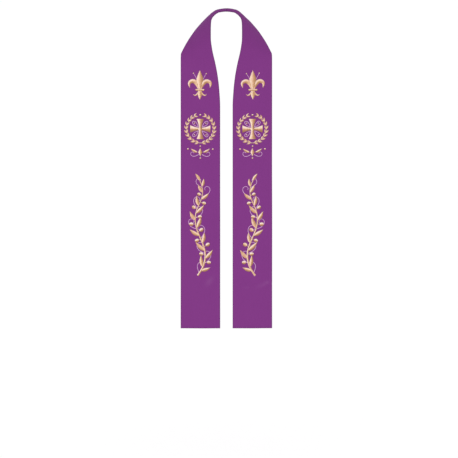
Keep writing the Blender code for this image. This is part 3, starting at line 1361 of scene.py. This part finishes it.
class SharedGroup(Wiring):
    """A shader node group with named inputs and one output, built once for all the materials.

    Its output is what its work makes of its inputs.
    """

    name: str
    inputs: tuple[str, ...]
    output: str
    kinds = {"Color": "NodeSocketColor", "Vector": "NodeSocketVector", "Stretch": "NodeSocketVector"}

    def __init__(self) -> None:
        """Makes the group and its sockets, and wires its work between them."""
        super().__init__(bpy.data.node_groups.new(self.name, "ShaderNodeTree"))
        for way, labels in (("INPUT", self.inputs), ("OUTPUT", (self.output,))):
            for label in labels:
                kind = self.kinds.get(label, "NodeSocketFloat")
                self.tree.interface.new_socket(name=label, in_out=way, socket_type=kind)
        self.given = self.add("NodeGroupInput", {}).outputs
        self.add("NodeGroupOutput", {self.output: self.work()})

    def work(self) -> NodeSocket:
        """Value of the output."""
        raise NotImplementedError

    def threads(self, axis: int) -> NodeSocket:
        """A sine of the place on the map, which passes zero once a pitch.

        Args:
            axis: 0 to go across the map, 1 to go along it.

        Returns:
            Its value.
        """
        split = self.add("ShaderNodeSeparateXYZ", {0: self.given["Vector"]})
        turns = self.maths("DIVIDE", split.outputs[axis], self.given["Pitch"])
        return self.maths("SINE", self.maths("MULTIPLY", turns, math.pi))

    def shaded(self, value: NodeSocket) -> NodeSocket:
        """The group's colour with its brightness multiplied by this value."""
        inputs = {"Color": self.given["Color"], "Value": value}
        return self.add("ShaderNodeHueSaturation", inputs).outputs["Color"]


class Weave(SharedGroup):
    """Plain weave from a map in metres: two sets of rounded threads that pass over each other.

    The height of a thread is the size of a sine across it; the upper set shows where the product
    of the two sines is positive.
    """

    name = "plain weave"
    inputs = ("Vector", "Pitch")
    output = "Height"

    def work(self) -> NodeSocket:
        """Height of the weave.

        Returns:
            A number from 0 to 1.
        """
        waves = self.threads(0), self.threads(1)
        sizes = [self.maths("ABSOLUTE", wave) for wave in waves]
        over = self.maths("GREATER_THAN", self.maths("MULTIPLY", *waves), 0.0)
        under = self.maths("SUBTRACT", 1.0, over)
        upper = self.maths("MULTIPLY", sizes[0], over)
        return self.maths("ADD", upper, self.maths("MULTIPLY", sizes[1], under))


class LaidThreads(SharedGroup):
    """Fine threads lying across a band: the size of a sine of the distance along it."""

    name = "laid threads"
    inputs = ("Vector", "Pitch")
    output = "Height"

    def work(self) -> NodeSocket:
        """Height of the threads."""
        return self.maths("ABSOLUTE", self.threads(1))


class Mottle(SharedGroup):
    """Soft uneven shade: a colour made lighter or darker by noise on the places given.

    The stretch turns metres into lengths of the noise, one number for each axis.
    """

    name = "mottle"
    inputs = ("Color", "Vector", "Stretch", "Amount")
    output = "Color"

    def work(self) -> NodeSocket:
        """The uneven colour.

        Returns:
            The colour, its brightness one plus twice the amount times the noise less a half.
        """
        stretch = {0: self.given["Vector"], 1: self.given["Stretch"]}
        places = self.add("ShaderNodeVectorMath", stretch, operation="MULTIPLY").outputs["Vector"]
        noise = self.add("ShaderNodeTexNoise", {"Vector": places, "Scale": 1.0, "Detail": 3.0})
        off = self.maths("SUBTRACT", noise.outputs["Fac"], 0.5)
        swing = self.maths("MULTIPLY", off, self.maths("MULTIPLY", self.given["Amount"], 2.0))
        return self.shaded(self.maths("ADD", swing, 1.0))


class GroovePaintedShade(SharedGroup):
    """Paints shade into the grooves: darkens a colour by the depth where the height is 0, and not at all
    where it is 1.
    """

    name = "groove shade"
    inputs = ("Color", "Height", "Depth")
    output = "Color"

    def work(self) -> NodeSocket:
        """The darkened colour."""
        low = self.maths("SUBTRACT", 1.0, self.given["Height"])
        return self.shaded(self.maths("SUBTRACT", 1.0, self.maths("MULTIPLY", low, self.given["Depth"])))


@dataclass(frozen=True)
class Relief:
    """A fine pattern of threads: its pitch, how deep its bump is and how much painted shade goes in its
    grooves.
    """

    group: type[SharedGroup]
    pitch: float
    distance: float
    strength: float
    groove: float


@dataclass(frozen=True)
class Mottling:
    """Noise in a colour: how many of its lengths there are to a metre each way, and its amount."""

    stretch: Triple
    amount: float


@dataclass(frozen=True)
class Finish:
    """One material: shades by tone, uneven colour, a relief of threads and how it shines."""

    slot: Slot
    shades: tuple[tuple[float, Triple], ...]
    mottling: tuple[Mottling, ...]
    relief: Relief
    roughness: float
    specular: float
    metallic: float = 0.0
    sheen: float = 0.0
    sheen_roughness: float = 0.45

    def make(self, groups: dict[type[SharedGroup], NodeTree]) -> Material:
        """Builds the material.

        Its colour is the shade for the tone, which holds painted light and shade, made uneven by each
        mottling and then given painted shade in the grooves of the relief, whose height bends the
        normal.

        Args:
            groups: the tree of each shared group.

        Returns:
            The material.
        """
        material = bpy.data.materials.new(self.slot.value)
        material.use_nodes = True
        nodes = Wiring(material.node_tree)
        tone = nodes.add("ShaderNodeAttribute", {}, attribute_name="tone").outputs["Fac"]
        metres = nodes.add("ShaderNodeUVMap", {}, uv_map="metres").outputs["UV"]
        ramp = nodes.add("ShaderNodeValToRGB", {"Fac": tone})
        stops = ramp.color_ramp.elements
        while len(stops) < len(self.shades):
            stops.new(0.5)
        for stop, (place, shade) in zip(stops, self.shades):
            stop.position = place
            stop.color = (*shade, 1)
        colour = ramp.outputs["Color"]
        for mottling in self.mottling:
            uneven = {"Stretch": mottling.stretch, "Amount": mottling.amount}
            colour = nodes.place(groups[Mottle], {"Color": colour, "Vector": metres, **uneven})
        relief = self.relief
        height = nodes.place(groups[relief.group], {"Vector": metres, "Pitch": relief.pitch})
        deep = {"Strength": relief.strength, "Distance": relief.distance}
        bump = nodes.add("ShaderNodeBump", {"Height": height, **deep})
        dark = {"Height": height, "Depth": relief.groove}
        inputs = {
            "Base Color": nodes.place(groups[GroovePaintedShade], {"Color": colour, **dark}),
            "Normal": bump.outputs["Normal"],
            "Roughness": self.roughness,
            "Specular IOR Level": self.specular,
            "Metallic": self.metallic,
            "Sheen Weight": self.sheen,
            "Sheen Roughness": self.sheen_roughness,
        }
        nodes.fill(nodes.tree.nodes["Principled BSDF"], inputs)
        return material


FINISHES = (
    Finish(
        slot=Slot.CLOTH,
        # Tone 0 is a painted highlight on small ridges, the plain tone is the cloth's own colour, and 1
        # is painted shade along the edges.
        shades=(
            (0.0, (0.236, 0.052, 0.249)),
            (PLAIN_TONE, (0.213, 0.0335, 0.226)),
            (1.0, (0.149, 0.0235, 0.158)),
        ),
        mottling=(Mottling((11.0, 9.0, 1.0), 0.03), Mottling((1500.0, 26.0, 1.0), 0.07)),
        relief=Relief(Weave, pitch=0.55 * MM, distance=0.10 * MM, strength=0.35, groove=0.12),
        roughness=0.7,
        specular=0.17,
        sheen=0.045,
    ),
    Finish(
        slot=Slot.GOLD,
        # The tone runs from painted shade at 0 to a painted highlight at 1.
        shades=(
            (0.0, (0.32, 0.145, 0.055)),
            (0.35, (0.60, 0.32, 0.15)),
            (0.7, (0.93, 0.62, 0.42)),
            (1.0, (1.0, 0.90, 0.82)),
        ),
        mottling=(Mottling((110.0, 500.0, 1.0), 0.06),),
        relief=Relief(LaidThreads, pitch=0.40 * MM, distance=0.08 * MM, strength=0.45, groove=0.18),
        roughness=0.42,
        specular=0.45,
        metallic=0.15,
    ),
    Finish(
        slot=Slot.LILAC,
        # The tone runs from painted shade at 0 to a painted highlight at 1.
        shades=((0.0, (0.50, 0.23, 0.48)), (1.0, (0.92, 0.60, 0.86))),
        mottling=(Mottling((110.0, 500.0, 1.0), 0.05),),
        relief=Relief(LaidThreads, pitch=0.40 * MM, distance=0.06 * MM, strength=0.40, groove=0.14),
        roughness=0.45,
        specular=0.4,
    ),
)


@dataclass(frozen=True)
class Sun:
    """One wide soft light from far away.

    Its azimuth is measured from straight in front, to the viewer's right, and it lights a cloth
    that faces the front by its share.
    """

    name: str
    azimuth: float
    elevation: float
    share: float
    width: float

    def build(self) -> None:
        """Adds the light. Its strength is pi times its share over the cosine of its angle."""
        turn, rise = math.radians(self.azimuth), math.radians(self.elevation)
        out = math.cos(rise)
        toward = Vector((math.sin(turn) * out, -math.cos(turn) * out, math.sin(rise)))
        data = bpy.data.lights.new(self.name, "SUN")
        data.angle = math.radians(self.width)
        data.energy = math.pi * self.share / -toward.y
        lamp = bpy.data.objects.new(self.name, data)
        lamp.rotation_euler = toward.to_track_quat("Z", "Y").to_euler()
        bpy.context.scene.collection.objects.link(lamp)


@dataclass(frozen=True)
class Studio:
    """A white floor, a white sky, two soft lights and the camera."""

    lens: float = 250.0
    sensor: float = 36.0
    frame_pixels: int = 458
    metres_per_pixel: float = 3.59 * MM
    look_at: Triple = (9.3 * MM, -0.125, -0.755)
    pitch: float = 7.0
    sight: float = 400.0
    floor_height: float = -1.62
    floor_size: float = 140.0
    floor_colour: float = 0.80
    floor_glow: float = 0.41
    floor_roughness: float = 0.9
    sky_light: float = 0.70
    sky_seen: float = 1.0
    suns: tuple[Sun, ...] = (
        Sun("key", azimuth=-30, elevation=12, share=0.150, width=35),
        Sun("fill", azimuth=35, elevation=8, share=0.100, width=40),
    )

    def camera(self) -> None:
        """Sets the camera back from the panels until a pixel spans its distance on them."""
        data = bpy.data.cameras.new("camera")
        data.lens, data.sensor_width, data.clip_end = self.lens, self.sensor, self.sight
        distance = self.metres_per_pixel * self.frame_pixels * self.lens / self.sensor
        pitch = math.radians(self.pitch)
        back = np.array([0, -math.cos(pitch), math.sin(pitch)])
        camera = bpy.data.objects.new("camera", data)
        camera.location = np.array(self.look_at) + distance * back
        camera.rotation_euler = (math.pi / 2 - pitch, 0, 0)
        bpy.context.scene.collection.objects.link(camera)
        bpy.context.scene.camera = camera

    def floor(self) -> None:
        """Lays the floor, which glows a little so that it is as white as the sky."""
        bpy.ops.mesh.primitive_plane_add(size=self.floor_size, location=(0, 0, self.floor_height))
        floor = bpy.context.object
        floor.name = "floor"
        material = bpy.data.materials.new("floor")
        material.use_nodes = True
        inputs = {
            "Base Color": (*(self.floor_colour,) * 3, 1),
            "Emission Color": (1, 1, 1, 1),
            "Emission Strength": self.floor_glow,
            "Roughness": self.floor_roughness,
            "Specular IOR Level": 0.0,
        }
        nodes = Wiring(material.node_tree)
        nodes.fill(nodes.tree.nodes["Principled BSDF"], inputs)
        floor.data.materials.append(material)

    def sky(self) -> None:
        """Makes the sky white where it is seen, and a little dimmer as a light."""
        world = bpy.data.worlds.new("studio")
        world.use_nodes = True
        nodes = Wiring(world.node_tree)
        dim, bright = (
            {"Color": (1, 1, 1, 1), "Strength": strength} for strength in (self.sky_light, self.sky_seen)
        )
        light = nodes.fill(nodes.tree.nodes["Background"], dim)
        seen = nodes.add("ShaderNodeBackground", bright)
        ray = nodes.add("ShaderNodeLightPath", {}).outputs["Is Camera Ray"]
        mix = nodes.add("ShaderNodeMixShader", {0: ray, 1: light.outputs[0], 2: seen.outputs[0]})
        nodes.fill(nodes.tree.nodes["World Output"], {"Surface": mix.outputs[0]})
        bpy.context.scene.world = world

    def build(self) -> None:
        """Sets up the camera, the floor, the sky and the lights."""
        self.camera()
        self.floor()
        self.sky()
        for sun in self.suns:
            sun.build()
        bpy.context.scene.view_settings.view_transform = "Standard"


def dress_half(side: Side, materials: dict[Slot, Material]) -> None:
    """Builds one half's cloth, stitches and embroidery and ties them to the frame.

    Args:
        side: which half.
        materials: the finish of each slot.
    """
    form = ClothForm(side)
    half = ClothHalf(form)
    cloth = half.build(materials[Slot.CLOTH])
    worked = {"hem_stitches": HemStitches(half).build(materials[Slot.CLOTH])}
    for motif in (Lily, WreathedCross, Branch, Pendant):
        for stitching in motif(form).stitch():
            worked[stitching.name] = stitching.build(materials)
    pieces = list(worked.values())
    for piece in (cloth, *pieces):
        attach(piece, "root")
    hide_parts(f"half_{side.word}")
    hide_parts(f"lily_{side.word}")
    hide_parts(f"cross_{side.word}")


def main() -> None:
    """Loads the frame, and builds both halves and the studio."""
    logging.basicConfig(level=logging.INFO, format="%(name)s: %(message)s")
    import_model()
    groups = {kind: kind().tree for kind in (Weave, LaidThreads, Mottle, GroovePaintedShade)}
    materials = {finish.slot: finish.make(groups) for finish in FINISHES}
    for side in Side:
        dress_half(side, materials)
    Studio().build()


if __name__ == "__main__":
    main()
